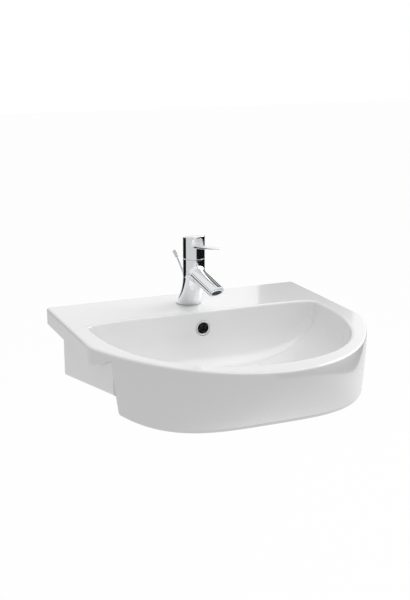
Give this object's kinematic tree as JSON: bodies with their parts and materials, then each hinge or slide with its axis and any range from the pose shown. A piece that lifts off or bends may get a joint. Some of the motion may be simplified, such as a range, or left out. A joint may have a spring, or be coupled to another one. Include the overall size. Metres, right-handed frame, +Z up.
{
  "type": "wall-hung basin",
  "caption": "Wall-hung ceramic basin with a flat rear deck, D-shaped front and stepped skirt, single-lever mixer tap, overflow and pop-up waste.",
  "frame": {"origin": "midway between the two wall studs, on the wall face", "axes": "+Z up, +Y into the wall, -Y towards the user, +X to the right seen from the front"},
  "size_m": [0.55, 0.54, 0.3471],
  "materials": {
    "ceramic": "white gloss glaze",
    "chrome": "polished chrome",
    "brass": "machined",
    "rubber": "matt black",
    "plastic": "moulded white",
    "dark_plastic": "moulded dark grey",
    "steel": "brushed"
  },
  "bodies": {
    "base": {"basin": "ceramic", "overflow_ring": "chrome", "tap_gasket": "rubber", "tap_body": "chrome", "spout": "chrome", "aerator_housing": "chrome", "aerator_insert": "dark_plastic", "cartridge_body": "plastic", "disc_fixed": "ceramic", "cartridge_nut": "brass", "dome_cover": "chrome", "fixing_stud": "brass", "horseshoe_gasket": "rubber", "horseshoe_washer": "steel", "fixing_nut": "brass", "pivot_nut": "chrome", "seat_inner": "plastic", "seat_outer": "plastic", "waste_flange": "chrome", "flange_seal": "rubber", "waste_body": "chrome", "under_washer": "rubber", "waste_backnut": "brass"},
    "mixer_turn": {"stem_carrier": "plastic"},
    "mixer_disc": {"disc_moving": "ceramic"},
    "mixer_lever": {"cartridge_stem": "brass", "handle": "chrome", "grub_screw": "steel", "indicator_plug": "chrome"},
    "lift_rod_group": {"lift_rod": "chrome", "lift_knob": "chrome", "clevis_strap": "steel", "clevis_screw": "chrome"},
    "pivot_rod_group": {"pivot_rod": "steel"},
    "plug_group": {"waste_plug": "chrome", "plug_seal": "rubber"}
  },
  "joints": [
    {"name": "handle_turn", "type": "hinge", "parent": "base", "child": "mixer_turn", "pos_m": [0, -0.105, 0.185], "axis": [0, 0, 1], "range_deg": [-45, 45]},
    {"name": "handle_tilt", "type": "hinge", "parent": "mixer_turn", "child": "mixer_lever", "pos_m": [0, -0.105, 0.185], "axis": [-1, 0, 0], "range_deg": [0, 18]},
    {"name": "disc_slide", "type": "slide", "parent": "mixer_turn", "child": "mixer_disc", "axis": [0, -1, 0], "range_m": [0, 0.0038]},
    {"name": "rod_lift", "type": "slide", "parent": "base", "child": "lift_rod_group", "axis": [0, 0, 1], "range_m": [0, 0.036]},
    {"name": "pivot_turn", "type": "hinge", "parent": "base", "child": "pivot_rod_group", "pos_m": [0, -0.198, -0.07], "axis": [1, 0, 0], "range_deg": [0, 16]},
    {"name": "plug_lift", "type": "slide", "parent": "base", "child": "plug_group", "axis": [0, 0, -1], "range_m": [0, 0.0072]}
  ],
  "couplings": [
    {"joint": "disc_slide", "follows": "handle_tilt", "m_per_rad": 0.012},
    {"joint": "pivot_turn", "follows": "rod_lift", "rad_per_m": 7.1685},
    {"joint": "plug_lift", "follows": "rod_lift", "ratio": 0.19355}
  ]
}
